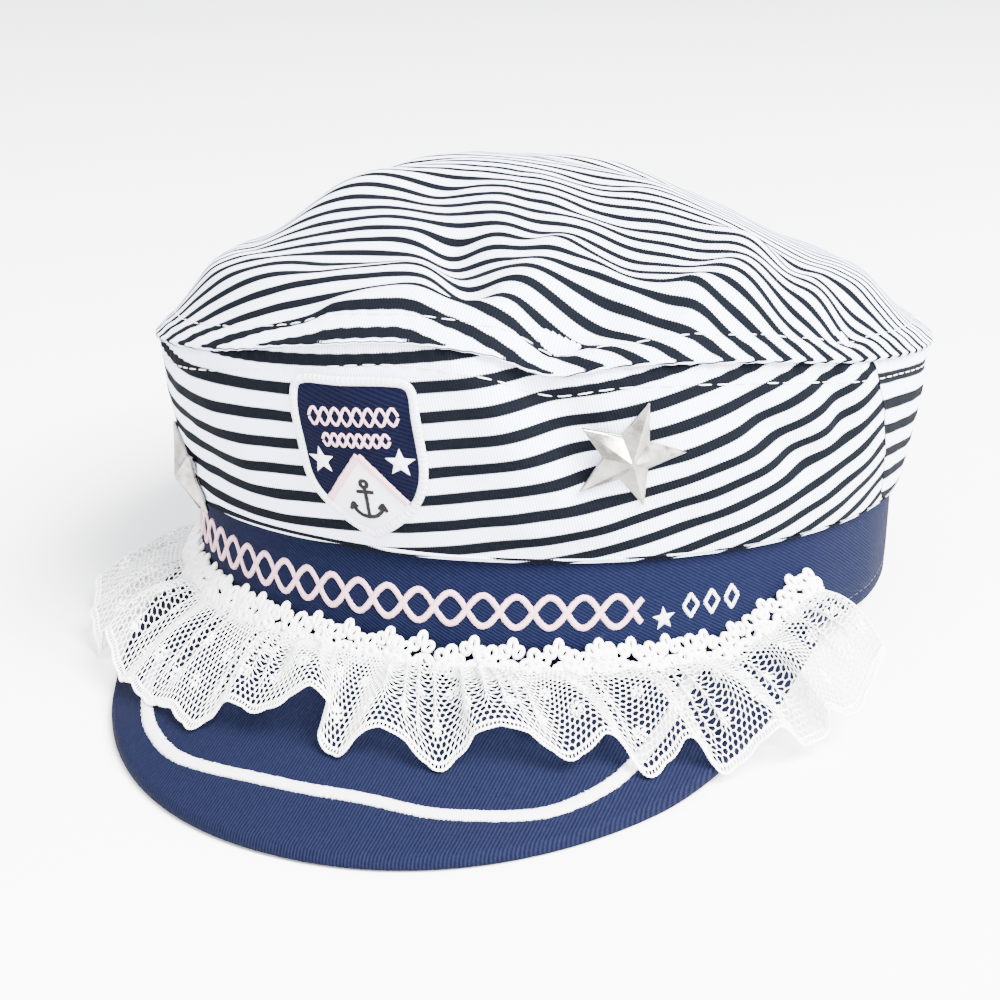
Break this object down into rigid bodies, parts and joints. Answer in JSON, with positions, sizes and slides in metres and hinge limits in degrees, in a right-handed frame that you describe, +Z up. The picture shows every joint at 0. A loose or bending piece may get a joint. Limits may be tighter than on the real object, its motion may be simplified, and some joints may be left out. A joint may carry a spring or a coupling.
{
  "type": "sailor cap",
  "caption": "Soft peaked sailor cap with a striped crown, navy band and curved visor, lace ruffle, star studs and a shield badge.",
  "frame": {"origin": "middle of the cap's box, on the surface that the cap rests on", "axes": "+Z up, -Y towards the visor's front edge, +X towards the wearer's left"},
  "size_m": [0.1984, 0.2582, 0.1114],
  "materials": {
    "striped_cloth": "white cotton twill with dark navy stripes",
    "navy_twill": "navy cotton twill",
    "lace": "white cotton guipure and hexagonal net",
    "silver_metal": "pressed silvery metal with fine specks",
    "badge_twill": "navy twill under satin stitching",
    "badge_edge": "white overlocked edge thread"
  },
  "bodies": {
    "root": {"crown_top": "striped_cloth", "crown_side_front": "striped_cloth", "crown_side_back": "striped_cloth", "headband": "navy_twill", "visor": "navy_twill", "lace_braid": "lace", "lace_ruffle": "lace", "star_stud_right": "silver_metal", "star_stud_left": "silver_metal", "badge_field": "badge_twill", "badge_border": "badge_edge"}
  },
  "joints": []
}
